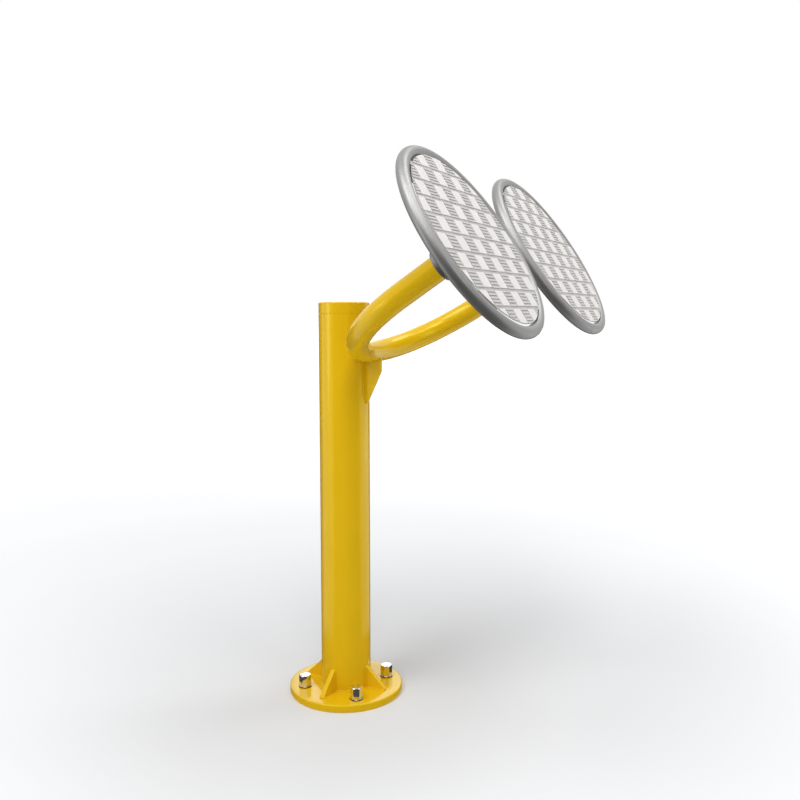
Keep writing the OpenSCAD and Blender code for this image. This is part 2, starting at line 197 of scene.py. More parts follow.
def new_material(name):
    """A material, its node tree and its Principled shader."""
    material = bpy.data.materials.new(name)
    material.use_nodes = True
    tree = material.node_tree
    return material, tree, tree.nodes["Principled BSDF"]


def add_node(tree, kind, inputs=None, **settings):
    """A new node with its settings, and with the values of some inputs."""
    new = tree.nodes.new(kind)
    for key, value in settings.items():
        setattr(new, key, value)
    for key, value in (inputs or {}).items():
        new.inputs[key].default_value = value
    return new


def feed(tree, socket, value):
    """Links an output to the socket, or sets the socket to a number or to a colour of three numbers."""
    if isinstance(value, bpy.types.NodeSocket):
        tree.links.new(value, socket)
    elif isinstance(value, tuple):
        socket.default_value = (*value, 1)
    else:
        socket.default_value = value


def feed_shader(tree, shader, inputs):
    """Feeds the shader's inputs by their names."""
    for name, value in inputs.items():
        feed(tree, shader.inputs[name], value)


def object_place(tree):
    """A point's place in its object, which is its place at rest."""
    return add_node(tree, "ShaderNodeTexCoord").outputs["Object"]


def noise(tree, place, scale, detail):
    """Soft random mottling between 0 and 1; scale is in features per metre."""
    new = add_node(tree, "ShaderNodeTexNoise", {"Scale": scale, "Detail": detail})
    tree.links.new(place, new.inputs["Vector"])
    return new.outputs["Fac"]


def ramp(tree, value, stops, interpolation="LINEAR"):
    """Colours at given values, blended in between."""
    new = add_node(tree, "ShaderNodeValToRGB")
    new.color_ramp.interpolation = interpolation
    elements = new.color_ramp.elements
    while len(elements) < len(stops):
        elements.new(0.5)
    for element, (position, colour) in zip(elements, stops):
        element.position = position
        element.color = (*colour, 1)
    tree.links.new(value, new.inputs["Fac"])
    return new.outputs["Color"]


def grey(level):
    """A neutral colour."""
    return (level, level, level)


def two_tones(tree, value, dark, light, span=(0.3, 0.7)):
    """A blend from dark to light while the value crosses the span."""
    return ramp(tree, value, list(zip(span, (dark, light))))


def mix(tree, factor, first, second, blend="MIX"):
    """Two colours mixed or multiplied."""
    new = add_node(tree, "ShaderNodeMix", data_type="RGBA", blend_type=blend)
    feed(tree, new.inputs["Factor"], factor)
    feed(tree, new.inputs["A"], first)
    feed(tree, new.inputs["B"], second)
    return new.outputs["Result"]


def multiply(tree, first, second):
    """One colour darkened by another."""
    return mix(tree, 1.0, first, second, "MULTIPLY")


def bump(tree, height, strength, distance):
    """A normal tilted by the slopes of a height."""
    new = add_node(tree, "ShaderNodeBump", {"Strength": strength, "Distance": distance})
    tree.links.new(height, new.inputs["Height"])
    return new.outputs["Normal"]


def spread(tree, value, low, high):
    """Maps 0 to 1 onto low to high."""
    new = add_node(tree, "ShaderNodeMapRange", {"To Min": low, "To Max": high})
    tree.links.new(value, new.inputs["Value"])
    return new.outputs["Result"]


def share(tree, value, low, high):
    """Maps low to high onto 0 to 1."""
    new = add_node(tree, "ShaderNodeMapRange", {"From Min": low, "From Max": high})
    tree.links.new(value, new.inputs["Value"])
    return new.outputs["Result"]


def joined(tree, operation, first, second):
    """Two values joined by a math operation."""
    new = add_node(tree, "ShaderNodeMath", operation=operation)
    tree.links.new(first, new.inputs[0])
    tree.links.new(second, new.inputs[1])
    return new.outputs[0]


def seen_by_eye(tree):
    """1 where camera, mirror or glass sees the surface, and 0 where it lights other surfaces."""
    path = add_node(tree, "ShaderNodeLightPath").outputs
    seen = joined(tree, "MAXIMUM", path["Is Camera Ray"], path["Is Glossy Ray"])
    return joined(tree, "MAXIMUM", seen, path["Is Transmission Ray"])


def height_above(tree, place, low, high):
    """0 to 1 between two distances in front of the rims' middle plane."""
    dot = add_node(tree, "ShaderNodeVectorMath", {1: NORMAL}, operation="DOT_PRODUCT")
    tree.links.new(place, dot.inputs[0])
    plane = NORMAL.dot(Vector((0, WHEEL_Y, WHEEL_Z)))
    return share(tree, dot.outputs["Value"], plane + low, plane + high)


# Materials

def paint_material():
    """Yellow powder coat: fine orange peel, fine specks and faint cloudiness."""
    material, tree, shader = new_material("yellow_powder_coat")
    place = object_place(tree)
    cloud = noise(tree, place, scale=7.0, detail=3.0)
    fine = noise(tree, place, scale=900.0, detail=2.0)
    peel = noise(tree, place, scale=420.0, detail=1.5)
    yellow = two_tones(tree, cloud, (0.782, 0.472, 0.0055), (0.812, 0.490, 0.0070))
    speck = two_tones(tree, fine, grey(0.97), grey(1.0), span=(0.25, 0.75))
    feed_shader(tree, shader, {
        "Base Color": multiply(tree, yellow, speck),
        "Roughness": spread(tree, cloud, 0.16, 0.19),
        "Specular IOR Level": 0.60,
        "Specular Tint": (0.78, 1.0, 0.28),
        "Normal": bump(tree, peel, strength=0.008, distance=0.0004),
    })
    return material


def rim_material():
    """Satin grey metallic coat of the rims."""
    material, tree, shader = new_material("satin_grey_metal")
    place = object_place(tree)
    cloud = noise(tree, place, scale=9.0, detail=3.0)
    grit = noise(tree, place, scale=1500.0, detail=2.0)
    coat = two_tones(tree, cloud, (0.282, 0.280, 0.276), (0.307, 0.305, 0.300))
    fleck = two_tones(tree, grit, grey(0.90), grey(1.0))
    feed_shader(tree, shader, {
        "Base Color": multiply(tree, coat, fleck),
        "Metallic": 0.82,
        "Roughness": spread(tree, cloud, 0.42, 0.47),
        "Normal": bump(tree, grit, strength=0.02, distance=0.0001),
    })
    return material


def hub_material():
    """Turned and blasted aluminium of the hubs."""
    material, tree, shader = new_material("blasted_aluminium")
    place = object_place(tree)
    cloud = noise(tree, place, scale=12.0, detail=4.0)
    grit = noise(tree, place, scale=1100.0, detail=3.0)
    feed_shader(tree, shader, {
        "Base Color": two_tones(tree, cloud, grey(0.20), (0.24, 0.238, 0.235)),
        "Metallic": 0.8,
        "Roughness": spread(tree, grit, 0.42, 0.56),
        "Normal": bump(tree, grit, strength=0.10, distance=0.0004),
    })
    return material


def metal_material(name, colour, roughness):
    """Bare or plated metal with faint smudges and fine grinding marks."""
    material, tree, shader = new_material(name)
    place = object_place(tree)
    smudge = noise(tree, place, scale=160.0, detail=3.0)
    marks = noise(tree, place, scale=700.0, detail=2.0)
    smudged = tuple(c * 0.93 for c in colour)
    feed_shader(tree, shader, {
        "Base Color": two_tones(tree, smudge, smudged, colour),
        "Metallic": 1.0,
        "Roughness": spread(tree, smudge, roughness * 0.8, roughness * 1.3),
        "Normal": bump(tree, marks, strength=0.03, distance=0.0002),
    })
    return material


def washer_material():
    """Bright plating on the washers' tops, with their edges painted dark brown all round as painted shade
    where they sit on the plate.
    """
    material, tree, shader = new_material("plating_with_painted_shade")
    place = object_place(tree)
    parts = add_node(tree, "ShaderNodeSeparateXYZ")
    tree.links.new(place, parts.inputs[0])
    top = share(tree, parts.outputs["Z"], BASE_T + WASHER_T - WASHER_EASE, BASE_T + WASHER_T)
    smudge = noise(tree, place, scale=160.0, detail=3.0)
    bright = two_tones(tree, smudge, (0.55, 0.42, 0.26), (0.64, 0.51, 0.33))
    # painted shade: everything below the washer's top face is coloured dark brown
    painted_shade_brown = (0.022, 0.012, 0.005)
    feed_shader(tree, shader, {
        "Base Color": mix(tree, top, painted_shade_brown, bright),
        "Metallic": 1.0,
        "Roughness": spread(tree, smudge, 0.24, 0.36),
    })
    return material


def tread_material():
    """Moulded grey panel: the tops of the ribs are painted paler as painted highlight, and the floor
    between them darker as painted shade.
    """
    material, tree, shader = new_material("moulded_grey_tread")
    place = object_place(tree)
    on_rib = height_above(tree, place, PANEL_TOP + 0.0002, TREAD_TOP - 0.0002)
    cloud = noise(tree, place, scale=14.0, detail=3.0)
    grain = noise(tree, place, scale=1300.0, detail=2.0)
    # painted shade on the floor between the ribs, painted highlight on the ribs' tops
    between = two_tones(tree, cloud, (0.428, 0.411, 0.396), (0.462, 0.445, 0.429))
    rib_painted_highlight = two_tones(tree, cloud, (0.535, 0.520, 0.506), (0.565, 0.550, 0.536))
    feed_shader(tree, shader, {
        "Base Color": mix(tree, on_rib, between, rib_painted_highlight),
        "Roughness": spread(tree, grain, 0.45, 0.60),
        "Normal": bump(tree, grain, strength=0.12, distance=0.0003),
    })
    return material


def pad_material():
    """Smooth near-white plastic with a faint diagonal brushing."""
    material, tree, shader = new_material("white_pad_plastic")
    place = object_place(tree)
    cloud = noise(tree, place, scale=20.0, detail=3.0)
    turned = add_node(tree, "ShaderNodeMapping", {"Rotation": (TILT, 0.0, math.radians(38))})
    tree.links.new(place, turned.inputs["Vector"])
    wave = add_node(tree, "ShaderNodeTexWave", {"Scale": 110.0, "Distortion": 1.2, "Detail": 1.0})
    tree.links.new(turned.outputs["Vector"], wave.inputs["Vector"])
    brushing = wave.outputs["Fac"]
    plastic = two_tones(tree, cloud, (0.700, 0.677, 0.657), (0.740, 0.717, 0.697))
    hatch = two_tones(tree, brushing, grey(0.965), grey(1.0), span=(0.2, 0.8))
    feed_shader(tree, shader, {
        "Base Color": multiply(tree, plastic, hatch),
        "Roughness": spread(tree, cloud, 0.38, 0.46),
        "Normal": bump(tree, brushing, strength=0.05, distance=0.0002),
    })
    return material


def carrier_painted_shade_material():
    """Near-black colour of the carrier discs, slightly uneven: painted shade for the slits between panel
    and rim, where the discs show through.
    """
    material, tree, shader = new_material("black_dip_coat")
    place = object_place(tree)
    cloud = noise(tree, place, scale=30.0, detail=4.0)
    grain = noise(tree, place, scale=600.0, detail=2.0)
    # painted shade: the disc is near black so that the slits in front of it read dark
    feed_shader(tree, shader, {
        "Base Color": two_tones(tree, cloud, (0.014, 0.014, 0.015), (0.022, 0.022, 0.023)),
        "Specular IOR Level": 0.25,
        "Roughness": spread(tree, cloud, 0.42, 0.60),
        "Normal": bump(tree, grain, strength=0.08, distance=0.0003),
    })
    return material


def rubber_material():
    """Black rubber of the dust seals, with a fine grain."""
    material, tree, shader = new_material("black_rubber")
    grain = noise(tree, object_place(tree), scale=500.0, detail=2.0)
    feed_shader(tree, shader, {
        "Base Color": two_tones(tree, grain, grey(0.012), grey(0.022)),
        "Roughness": 0.6,
        "Normal": bump(tree, grain, strength=0.15, distance=0.0003),
    })
    return material


LOOKS = {
    "frame_paint": paint_material(),
    "rim_metal": rim_material(),
    "wheel_metal": hub_material(),
    "tread_grey": tread_material(),
    "pad_white": pad_material(),
    "bright_plating": metal_material("bright_plating", (0.80, 0.80, 0.81), 0.07),
    "steel": metal_material("ground_steel", (0.52, 0.52, 0.53), 0.22),
    "dark_steel": metal_material("blackened_steel", (0.09, 0.09, 0.092), 0.38),
    "cage_brass": metal_material("pressed_brass", (0.62, 0.42, 0.16), 0.25),
    "seal_rubber": rubber_material(),
}
WASHER_LOOK = washer_material()
CARRIER_SHADE_LOOK = carrier_painted_shade_material()


def dress_nodes():
    """Gives every CAD node the look of its slot; only the carrier discs are painted near black, as painted
    shade in the slits between panel and rim.
    """
    for subpart in record["subparts"]:
        name = subpart["node"]
        look = CARRIER_SHADE_LOOK if name.startswith("carrier") else LOOKS[subpart["material_slot"]]
        slots = frame["nodes"][name].data.materials
        slots.clear()
        slots.append(look)


# Helpers for lines and angles

def full_turn(count):
    """Angles in radians, evenly round a full turn."""
    return [2 * math.pi * i / count for i in range(count)]


def evenly(start, end, steps):
    """Numbers from start to end in equal steps."""
    return [start + (end - start) * i / steps for i in range(steps + 1)]


def arc(x, y, radius, start, end, steps):
    """Points on an arc about (x, y), between two angles in radians."""
    return [(x + radius * math.cos(a), y + radius * math.sin(a)) for a in evenly(start, end, steps)]


def on_circle(radius, angle, height):
    """The point at a radius, angle and height about the z axis."""
    return Vector((radius * math.cos(angle), radius * math.sin(angle), height))


def lower_edge(radius, height, ease):
    """Profile points of a softened lower outer edge."""
    quarter = ease / 4
    return [(radius - ease, height), (radius - quarter, height + quarter), (radius, height + ease)]


def upper_edge(radius, height, ease):
    """Profile points of a softened upper outer edge."""
    quarter = ease / 4
    return [(radius, height - ease), (radius - quarter, height - quarter), (radius - ease, height)]


def bead_line(start, end):
    """Points on a straight line, as far apart as a weld bead needs them."""
    start, end = Vector(start), Vector(end)
    steps = int((end - start).length / BEAD_STEP)
    return [start.lerp(end, i / steps) for i in range(steps + 1)]


def halved(low, high, holds):
    """The value between low and high up to which holds is true."""
    for _ in range(40):
        middle = (low + high) / 2
        if holds(middle):
            low = middle
        else:
            high = middle
    return low


def soft_min(a, b, blend):
    """The smaller of two numbers, with a round transition."""
    overlap = max(blend - abs(a - b), 0.0) / blend
    return min(a, b) - overlap * overlap * blend * 0.25


# Helpers for meshes

def join_rings(mesh, rings, closed=False):
    """Four-sided faces between neighbouring rings of vertices, and from the last to the first if closed."""
    following = rings[1:] + rings[:1] if closed else rings[1:]
    for low, high in zip(rings, following):
        for i in range(len(low)):
            j = (i + 1) % len(low)
            mesh.faces.new((low[i], low[j], high[j], high[i]))


def cap_ends(mesh, rings):
    """A flat face on the first ring and one on the last."""
    mesh.faces.new(rings[0])
    mesh.faces.new(rings[-1])


def revolve(mesh, profile, segments, matrix=Matrix.Identity(4), closed=True):
    """Revolves (radius, height) points about the matrix's z axis."""
    rings = [[mesh.verts.new(matrix @ on_circle(radius, a, height)) for a in full_turn(segments)]
             for radius, height in profile]
    join_rings(mesh, rings, closed)


def revolve_to_axis(mesh, profile, segments):
    """Revolves an open profile and merges its points on the axis."""
    revolve(mesh, profile, segments, closed=False)
    bmesh.ops.remove_doubles(mesh, verts=mesh.verts, dist=1e-6)


def weld_bead(mesh, points, radius, ripple, closed=False):
    """A bead of round section along the points, rippled as a weld is, and tapered at open ends."""
    last = len(points) - 1
    travel = 0.0
    up = None
    rings = []
    for i, point in enumerate(points):
        before = points[i - 1] if i or closed else point
        after = points[(i + 1) % len(points)] if i < last or closed else point
        along = (after - before).normalized()
        if up is None:
            up = along.orthogonal().normalized()
        up = (up - along * up.dot(along)).normalized()
        side = along.cross(up)
        if i:
            travel += (point - points[i - 1]).length
        swell = 1 + ripple * (abs(math.sin(math.pi * travel / BEAD_PITCH)) - 0.5)
        if not closed:
            swell *= min(1.0, math.sqrt((min(i, last - i) + 0.15) / BEAD_TAPER))
        rings.append([mesh.verts.new(point + (side * math.cos(a) + up * math.sin(a)) * radius * swell)
                      for a in full_turn(BEAD_SIDES)])
    join_rings(mesh, rings, closed)
    if not closed:
        cap_ends(mesh, rings)


def add_object(name, mesh, material):
    """A new object made of the finished mesh."""
    data = bpy.data.meshes.new(name)
    mesh.to_mesh(data)
    mesh.free()
    data.materials.append(material)
    ob = bpy.data.objects.new(name, data)
    scene.collection.objects.link(ob)
    return ob


def add_piece(name, mesh, material, body):
    """A smoothly shaded piece with sharp corners, which rides on a body."""
    bmesh.ops.recalc_face_normals(mesh, faces=mesh.faces)
    ob = add_object(name, mesh, material)
    for face in ob.data.polygons:
        face.use_smooth = True
    ob.data.set_sharp_from_angle(angle=SHARP)
    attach(ob, body)
    return ob


def add_painted(name, mesh):
    """A piece of the yellow stand."""
    return add_piece(name, mesh, LOOKS["frame_paint"], "stand")


# Post, cap and base plate

def make_post():
    """The post's tube, from the base plate up to the cap's seam."""
    mesh = bmesh.new()
    top = SEAM_Z - SEAM_GAP
    inside = POST_R - POST_WALL
    profile = [(inside, BASE_T), (POST_R, BASE_T)]
    profile += [(POST_R, height) for height in evenly(BASE_T, top - 2 * EASE, 12)[1:]]
    profile += upper_edge(POST_R, top, EASE) + [(inside, top)]
    revolve(mesh, profile, POST_SEGMENTS)
    post = add_painted("post_tube", mesh)
    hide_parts("post")


def make_cap():
    """The post's cap: a skirt inside the tube, a seam, and a flat top with a round edge."""
    mesh = bmesh.new()
    skirt = POST_R - POST_WALL - CAP_PLAY
    foot = SEAM_Z - CAP_SKIRT_H
    profile = [(skirt - CAP_WALL, foot), (skirt, foot), (skirt, SEAM_Z)]
    profile += lower_edge(POST_R, SEAM_Z, EASE)
    profile += [(POST_R, height) for height in (SEAM_Z + 2 * EASE, SEAM_Z + 0.010, POST_H - 0.0045)]
    profile += arc(POST_R - CAP_EDGE_R, POST_H - CAP_EDGE_R, CAP_EDGE_R, 0, math.pi / 2, 10)
    profile += [(radius, POST_H) for radius in (0.064, 0.045, 0.02, 0.0)]
    revolve_to_axis(mesh, profile, POST_SEGMENTS)
    cap = add_painted("post_cap_turned", mesh)
    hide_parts("post_cap")


def make_base_plate():
    """The thick round base plate with its rounded upper edge."""
    mesh = bmesh.new()
    profile = [(0.0, 0.0), (0.05, 0.0)] + lower_edge(BASE_R, 0.0, BASE_EASE) + [(BASE_R, 0.008)]
    profile += arc(BASE_R - BASE_EDGE_R, BASE_T - BASE_EDGE_R, BASE_EDGE_R, 0, math.pi / 2, 8)
    profile += [(radius, BASE_T) for radius in (0.14, 0.11, 0.08, 0.04, 0.0)]
    revolve_to_axis(mesh, profile, POST_SEGMENTS)
    plate = add_painted("base_plate_turned", mesh)
    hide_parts("base_plate")


# Arm tube

def arm_path():
    """The middle of the arm's tube in its own frame: down one leg, round the bend, up the other."""
    leg_end = HUB_BACK - 0.001
    path = [Vector((-BEND_R, 0, z)) for z in evenly(leg_end, BEND_MIDDLE, 6)[:-1]]
    for a in evenly(0, math.pi, BEND_STEPS):
        path.append(Vector((-BEND_R * math.cos(a), 0, BEND_MIDDLE - BEND_R * math.sin(a))))
    path += [Vector((BEND_R, 0, z)) for z in evenly(BEND_MIDDLE, leg_end, 6)[1:]]
    return path


def make_arm():
    """The round tube of the arm, bent to a U."""
    mesh = bmesh.new()
    path = arm_path()
    across = Vector((0, 1, 0))
    rings = []
    for i, point in enumerate(path):
        along = (path[min(i + 1, len(path) - 1)] - path[max(i - 1, 0)]).normalized()
        side = along.cross(across)
        section = [side * math.cos(a) + across * math.sin(a) for a in full_turn(ARM_SEGMENTS)]
        rings.append([mesh.verts.new(ARM @ (point + ARM_R * out)) for out in section])
    join_rings(mesh, rings)
    cap_ends(mesh, rings)
    arm = add_painted("arm_tube_bent", mesh)
    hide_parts("arm_tube")


# Gussets, flat plates with softened edges

def add_plates(name, outline, thickness, matrices):
    """Flat plates cut to an outline, lying in the x-y planes of the matrices."""
    mesh = bmesh.new()
    for matrix in matrices:
        faces = [[mesh.verts.new(matrix @ Vector((x, y, z))) for x, y in outline]
                 for z in (-thickness / 2, thickness / 2)]
        cap_ends(mesh, faces)
        join_rings(mesh, faces)
    bmesh.ops.recalc_face_normals(mesh, faces=mesh.faces)
    corners = [edge for edge in mesh.edges if edge.calc_face_angle(0) > 0.3]
    bmesh.ops.bevel(mesh, geom=corners, offset=GUSSET_BEVEL, segments=3, profile=0.6, affect="EDGES")
    plates = add_painted(name, mesh)
    plates.data.shade_smooth()
    weighted = plates.modifiers.new("weighted", "WEIGHTED_NORMAL")
    weighted.keep_sharp = False
    return plates


def make_base_gussets():
    """Four triangular plates with a blunt nose, between post and base plate."""
    inside = POST_R - GUSSET_LET_IN
    outline = [(inside, BASE_T), (GUSSET_END, BASE_T), (GUSSET_END, BASE_T + GUSSET_NOSE),
               (POST_R, GUSSET_TOP), (inside, GUSSET_TOP)]
    gussets = add_plates("base_gusset_plates", outline, GUSSET_T,
                         [quarter_turn(k) @ UPRIGHT for k in range(4)])
    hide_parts("base_gussets")


def make_arm_gusset():
    """The plate under the bend: up the post, out to a rounded corner, and back down on a slant."""
    inside = POST_R - GUSSET_LET_IN
    low, top = ARM_Z - ARM_GUSSET_LOW, ARM_Z - ARM_GUSSET_TOP
    corner = Vector((POST_R + ARM_GUSSET_REACH, ARM_Z - ARM_GUSSET_CORNER))
    tip = Vector((POST_R + ARM_GUSSET_NOSE, low))
    slant = math.atan2(corner.x - tip.x, corner.y - tip.y)
    middle_x = corner.x - ARM_GUSSET_CORNER_R
    middle_y = corner.y + ARM_GUSSET_CORNER_R * math.tan(slant / 2)
    outline = [(inside, low), tuple(tip)]
    outline += arc(middle_x, middle_y, ARM_GUSSET_CORNER_R, -slant, 0, 6)
    outline += [(corner.x, top), (inside, top)]
    gusset = add_plates("arm_gusset_plate", outline, ARM_GUSSET_T, [quarter_turn(-1) @ UPRIGHT])
    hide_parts("arm_gusset")


# Weld beads of the yellow stand

def make_base_welds():
    """Beads round the post's foot and along both sides of each base gusset."""
    mesh = bmesh.new()
    radius = POST_R + BEAD_OUT
    around = full_turn(int(2 * math.pi * radius / BEAD_STEP))
    foot = [on_circle(radius, a, BASE_T + BEAD_OUT) for a in around]
    weld_bead(mesh, foot, radius=0.0018, ripple=0.10, closed=True)
    on_plate = BASE_T + 0.0003
    on_post = POST_R + 0.0002
    for k in range(4):
        for side in (-1, 1):
            y = side * (GUSSET_T / 2 + 0.0002)
            flat = bead_line((POST_R + 0.003, y, on_plate), (GUSSET_END - 0.001, y, on_plate))
            rising = bead_line((on_post, y, BASE_T + 0.003), (on_post, y, GUSSET_TOP - 0.002))
            for points in (flat, rising):
                weld_bead(mesh, [quarter_turn(k) @ point for point in points], radius=0.0014, ripple=0.12)
    add_painted("base_weld_beads", mesh)


def arm_point(along, around):
    """A point on the bend's surface, from its angles along the bend and round the tube."""
    reach = BEND_R + ARM_R * math.cos(around)
    return ARM @ Vector((reach * math.cos(along), ARM_R * math.sin(around),
                         BEND_MIDDLE + reach * math.sin(along)))


def in_post(point):
    """Whether a point lies inside the round of the post."""
    return math.hypot(point.x, point.y) < POST_R


def off_tube(point):
    """Whether a point lies off the bend's tube, by at least a bead's distance."""
    inner = ARM.inverted() @ point
    from_middle = math.hypot(inner.x, inner.z - BEND_MIDDLE)
    return math.hypot(from_middle - BEND_R, inner.y) >= ARM_R + BEAD_OUT


def saddle_point(a, k):
    """A point on the bend, k of the way out in direction a from where the bend is deepest in the post."""
    return arm_point(-math.pi / 2 + math.cos(a) * 0.25 * k, TILT + math.sin(a) * 2.0 * k)


def saddle_curve():
    """The closed curve where the bend of the arm meets the round of the post."""
    curve = []
    for a in full_turn(SADDLE_POINTS):
        point = saddle_point(a, halved(0.0, 1.0, lambda k: in_post(saddle_point(a, k))))
        if not curve or (point - curve[-1]).length > SADDLE_SPACING:
            curve.append(point)
    return curve


def underside(x):
    """The line along which the arm gusset's side at x meets the tube from below."""
    points = []
    for y in evenly(-(POST_R + 0.003), -(POST_R + 0.048), 59):
        tube_middle = WHEEL_Z - (y - WHEEL_Y) * math.tan(TILT)
        height = halved(ARM_Z - 0.060, tube_middle, lambda z: off_tube(Vector((x, y, z))))
        points.append(Vector((x, y, height)))
    return points


def make_arm_welds():
    """Beads round the saddle, and down the post and along the tube on both sides of the arm gusset."""
    mesh = bmesh.new()
    weld_bead(mesh, saddle_curve(), radius=0.0026, ripple=0.14, closed=True)
    for side in (-1, 1):
        x = side * (ARM_GUSSET_T / 2 + 0.0006)
        y = -math.sqrt((POST_R + BEAD_OUT) ** 2 - x * x)
        down_post = bead_line((x, y, ARM_Z - 0.145), (x, y, ARM_Z - 0.030))
        for points in (down_post, underside(x)):
            weld_bead(mesh, points, radius=0.0021, ripple=0.16)
    add_painted("arm_weld_beads", mesh)


# Anchors' cap nuts and washers

def hexagon_radius(angle):
    """The radius of a hexagon with rounded corners."""
    corner = NUT_HALF / math.cos(math.radians(30)) * 0.985
    from_flat = (angle + math.pi / 6) % (math.pi / 3) - math.pi / 6
    return soft_min(NUT_HALF / math.cos(from_flat), corner, 0.0011)


def nut_point(t, angle):
    """Radius and height: t runs up the side to 1, over the chamfer to 2 and across the crown to 3."""
    flat = hexagon_radius(angle)
    shoulder = NUT_H - NUT_DOME
    side_top = shoulder - (flat - NUT_ROUND_R) * 0.72
    if t <= 1:
        height = side_top * t
        turned_foot = NUT_ROUND_R + min(height, 0.004) * 1.6
        return soft_min(flat, turned_foot, 0.0003), height
    if t <= 2:
        over = t - 1
        rise = (shoulder - side_top) * over + 0.0003 * math.sin(math.pi * over)
        return flat * (1 - over) + NUT_ROUND_R * over, side_top + rise
    radius = NUT_ROUND_R * (3 - t)
    return radius, NUT_H - NUT_DOME * (radius / NUT_ROUND_R) ** 2


def cap_nut(mesh, matrix):
    """Hexagon nut whose top is chamfered to a round, nearly flat crown."""
    steps = evenly(0, 1, 28)[:-1] + evenly(1, 2, 8)[:-1] + evenly(2, 3, 12)[:-1] + [2.98]
    rings = []
    for t in steps:
        ring = []
        for a in full_turn(NUT_SEGMENTS):
            radius, height = nut_point(t, a)
            ring.append(mesh.verts.new(matrix @ on_circle(radius, a, height)))
        rings.append(ring)
    join_rings(mesh, rings)
    cap_ends(mesh, rings)


def washer(mesh, matrix):
    """A flat washer with a softened outer edge."""
    profile = [(WASHER_BORE_R, 0.0), (WASHER_R - WASHER_EASE, 0.0), (WASHER_R, WASHER_EASE)]
    profile += [(WASHER_R, 0.0024), (WASHER_R - 0.0002, 0.0028), (WASHER_R - 0.0006, WASHER_T)]
    profile += [(WASHER_BORE_R, WASHER_T)]
    revolve(mesh, profile, WASHER_SEGMENTS, matrix)


def make_anchors():
    """Four cap nuts on their washers, on the bolt circle between the gussets."""
    nut_mesh, washer_mesh = bmesh.new(), bmesh.new()
    for k in range(4):
        at = Matrix.Translation(on_circle(BOLT_R, math.radians(45 + 90 * k), BASE_T))
        washer(washer_mesh, at)
        cap_nut(nut_mesh, at @ Matrix.Translation((0, 0, WASHER_T)) @ Matrix.Rotation(math.pi / 6, 4, "Z"))
    nuts = add_piece("anchor_cap_nuts_turned", nut_mesh, LOOKS["bright_plating"], "stand")
    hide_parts("anchor_cap_nuts")
    washers = add_piece("anchor_washers_turned", washer_mesh, WASHER_LOOK, "stand")
    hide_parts("anchor_washers")


# Wheels

def make_rim(side):
    """The round tube of a wheel's rim."""
    mesh = bmesh.new()
    section = [(RIM_R + TUBE_R * math.cos(a), TUBE_R * math.sin(a)) for a in full_turn(RIM_TUBE_SEGMENTS)]
    revolve(mesh, section, RIM_SEGMENTS, WHEELS[side])
    rim = add_piece("rim_ring_" + side, mesh, LOOKS["rim_metal"], "wheel_" + side)
    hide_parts("rim_" + side)


def make_rim_welds(side):
    """Beads behind the four webs, where they meet the rim."""
    mesh = bmesh.new()
    seat = RIM_R - math.sqrt(TUBE_R ** 2 - CARRIER_BACK ** 2) - BEAD_OUT
    reach = math.asin(WEB_HALF / seat) - 0.012
    steps = int(2 * reach * seat / BEAD_STEP)
    for k in range(4):
        middle = math.radians(WEB_TURN + 90 * k)
        points = [WHEELS[side] @ on_circle(seat, a, CARRIER_BACK - 0.0006)
                  for a in evenly(middle - reach, middle + reach, steps)]
        weld_bead(mesh, points, radius=0.0020, ripple=0.14)
    add_piece("rim_weld_" + side, mesh, LOOKS["rim_metal"], "wheel_" + side)


def make_hub_fillet(side):
    """The round fillet between a hub and its flange."""
    mesh = bmesh.new()
    outside = HUB_R + HUB_FILLET_R
    start = FLANGE_BACK - HUB_FILLET_R
    into_flange = FLANGE_BACK + 0.001
    profile = [(HUB_R - 0.002, into_flange), (HUB_R - 0.0003, start)]
    profile += arc(outside, start, HUB_FILLET_R, math.pi, math.pi / 2, 9)
    profile += [(outside, into_flange)]
    revolve(mesh, profile, HUB_SEGMENTS, WHEELS[side])
    add_piece("hub_fillet_" + side, mesh, LOOKS["wheel_metal"], "wheel_" + side)


# Floor, dark cloth, world and lamps

FLOOR_HALF = 60
FLOOR_Z = -0.0005
CLOTH_Z = 0.0003
LAMPS_AWAY = 5.0
LAMPS_AIM = Vector((0.0, -0.25, 0.6))

# The floor's glow: distances from its centre, and how bright it is there
GLOW_CENTRE = (0.14, -0.10, 0.0)
GLOW_END = 14.0
GLOW_LEVELS = ((0.0, 0.03), (0.6, 0.05), (1.1, 0.16), (1.6, 0.26), (2.4, 0.38), (4.0, 0.61), (7.0, 0.93),
               (GLOW_END, 1.0))


def floor_material():
    """Pale floor that keeps shadows; to the eye it also glows, from dim at the object to white far off."""
    material, tree, shader = new_material("pale_floor")
    tree.nodes.remove(shader)
    away = add_node(tree, "ShaderNodeVectorMath", {1: GLOW_CENTRE}, operation="DISTANCE")
    tree.links.new(object_place(tree), away.inputs[0])
    far = share(tree, away.outputs["Value"], 0.0, GLOW_END)
    stops = [(distance / GLOW_END, grey(level)) for distance, level in GLOW_LEVELS]
    glow = ramp(tree, far, stops, "B_SPLINE")
    plain = add_node(tree, "ShaderNodeBsdfDiffuse", {"Color": (0.712, 0.720, 0.735, 1)})
    bright = add_node(tree, "ShaderNodeEmission", {"Color": (1, 1, 1, 1)})
    feed(tree, bright.inputs["Strength"], joined(tree, "MULTIPLY", glow, seen_by_eye(tree)))
    both = add_node(tree, "ShaderNodeAddShader")
    tree.links.new(plain.outputs[0], both.inputs[0])
    tree.links.new(bright.outputs[0], both.inputs[1])
    tree.links.new(both.outputs[0], tree.nodes["Material Output"].inputs["Surface"])
    return material


def make_floor():
    """The floor, just under the base plate."""
    mesh = bmesh.new()
    bmesh.ops.create_grid(mesh, x_segments=1, y_segments=1, size=FLOOR_HALF)
    floor = add_object("floor", mesh, floor_material())
    floor.location = (0, 0, FLOOR_Z)


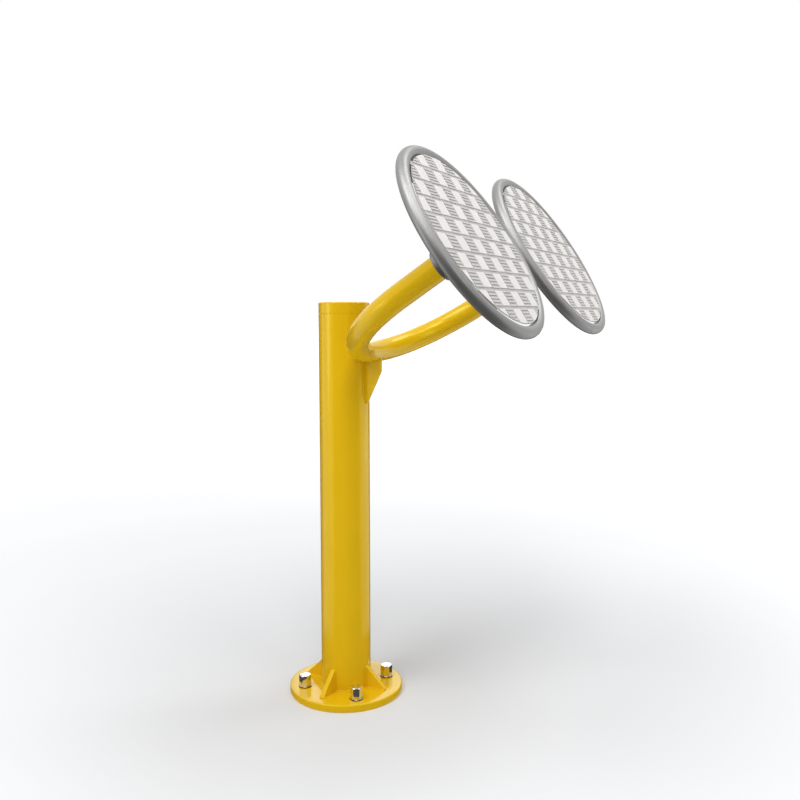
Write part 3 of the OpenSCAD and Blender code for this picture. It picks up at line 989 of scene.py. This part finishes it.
def cloth_material():
    """Dull dark cloth."""
    material, tree, shader = new_material("dark_cloth")
    feed_shader(tree, shader, {"Base Color": grey(0.08), "Roughness": 1.0, "Specular IOR Level": 0.0})
    return material


def cloth_strip(mesh, turns, first, second):
    """A strip between two arcs over turns in degrees, each given by its radius and height."""
    inner, outer = [[mesh.verts.new(on_circle(radius, math.radians(turn), height)) for turn in turns]
                    for radius, height in (first, second)]
    for k in range(len(turns) - 1):
        mesh.faces.new((inner[k], outer[k], outer[k + 1], inner[k + 1]))


def make_cloth():
    """A dark cloth that only reflections see: on the floor, with a curtain in front and one behind."""
    mesh = bmesh.new()
    all_round = range(0, 361, 4)
    in_front = range(158, 284, 5)
    behind = range(350, 451, 5)
    near, front_end, back_end = 0.5, 7.0, 9.0
    cloth_strip(mesh, all_round, (BASE_R + 0.004, CLOTH_Z), (near, CLOTH_Z))
    cloth_strip(mesh, in_front, (near, CLOTH_Z), (front_end, CLOTH_Z))
    cloth_strip(mesh, behind, (near, CLOTH_Z), (back_end, CLOTH_Z))
    cloth_strip(mesh, behind, (back_end, CLOTH_Z), (back_end, 1.6))
    cloth_strip(mesh, in_front, (front_end, CLOTH_Z), (front_end, 4.5))
    cloth = add_object("dark_cloth", mesh, cloth_material())
    for ray in ("camera", "diffuse", "transmission", "volume_scatter", "shadow"):
        setattr(cloth, "visible_" + ray, False)


def make_world():
    """A white studio to the eye, which lights the object only softly."""
    world = bpy.data.worlds.new("studio")
    scene.world = world
    world.use_nodes = True
    tree = world.node_tree
    background = tree.nodes["Background"]
    feed(tree, background.inputs["Color"], grey(1.0))
    feed(tree, background.inputs["Strength"], spread(tree, seen_by_eye(tree), 0.26, 1.0))


def lamp(name, height, turn, size, power, tall=1.0, mirrored=True):
    """An oval soft box, its height and turn in degrees as seen from the middle of the object."""
    data = bpy.data.lights.new(name, "AREA")
    data.shape = "ELLIPSE"
    data.size = size
    data.size_y = size * tall
    data.energy = power
    ob = bpy.data.objects.new(name, data)
    rise = math.radians(height)
    outward = on_circle(math.cos(rise), math.radians(turn), math.sin(rise))
    ob.location = LAMPS_AIM + LAMPS_AWAY * outward
    ob.rotation_euler = (-outward).to_track_quat("-Z", "Y").to_euler()
    ob.visible_camera = False
    ob.visible_glossy = mirrored
    scene.collection.objects.link(ob)


def make_lamps():
    """The studio's lamps: five high ones, three low ones, and two nearly level with the object."""
    lamp("key_high", height=62, turn=150, size=2.6, power=74)
    lamp("key_side", height=42, turn=162, size=2.4, power=46)
    lamp("key_over", height=60, turn=212, size=1.3, power=64, tall=3.0)
    lamp("top_right", height=62, turn=330, size=2.2, power=46)
    lamp("top_front", height=66, turn=268, size=2.4, power=36)
    lamp("front_low", height=18, turn=252, size=2.4, power=34)
    lamp("side_low", height=24, turn=192, size=2.2, power=16)
    lamp("rear_low", height=18, turn=30, size=2.0, power=12)
    lamp("strip_right", height=5, turn=322, size=1.8, power=45, mirrored=False)
    lamp("strip_left", height=5, turn=134, size=1.4, power=12)


set_camera()
dress_nodes()
make_post()
make_cap()
make_base_plate()
make_arm()
make_base_gussets()
make_arm_gusset()
make_base_welds()
make_arm_welds()
make_anchors()
for wheel in WHEELS:
    make_rim(wheel)
    make_rim_welds(wheel)
    make_hub_fillet(wheel)
make_floor()
make_cloth()
make_world()
make_lamps()
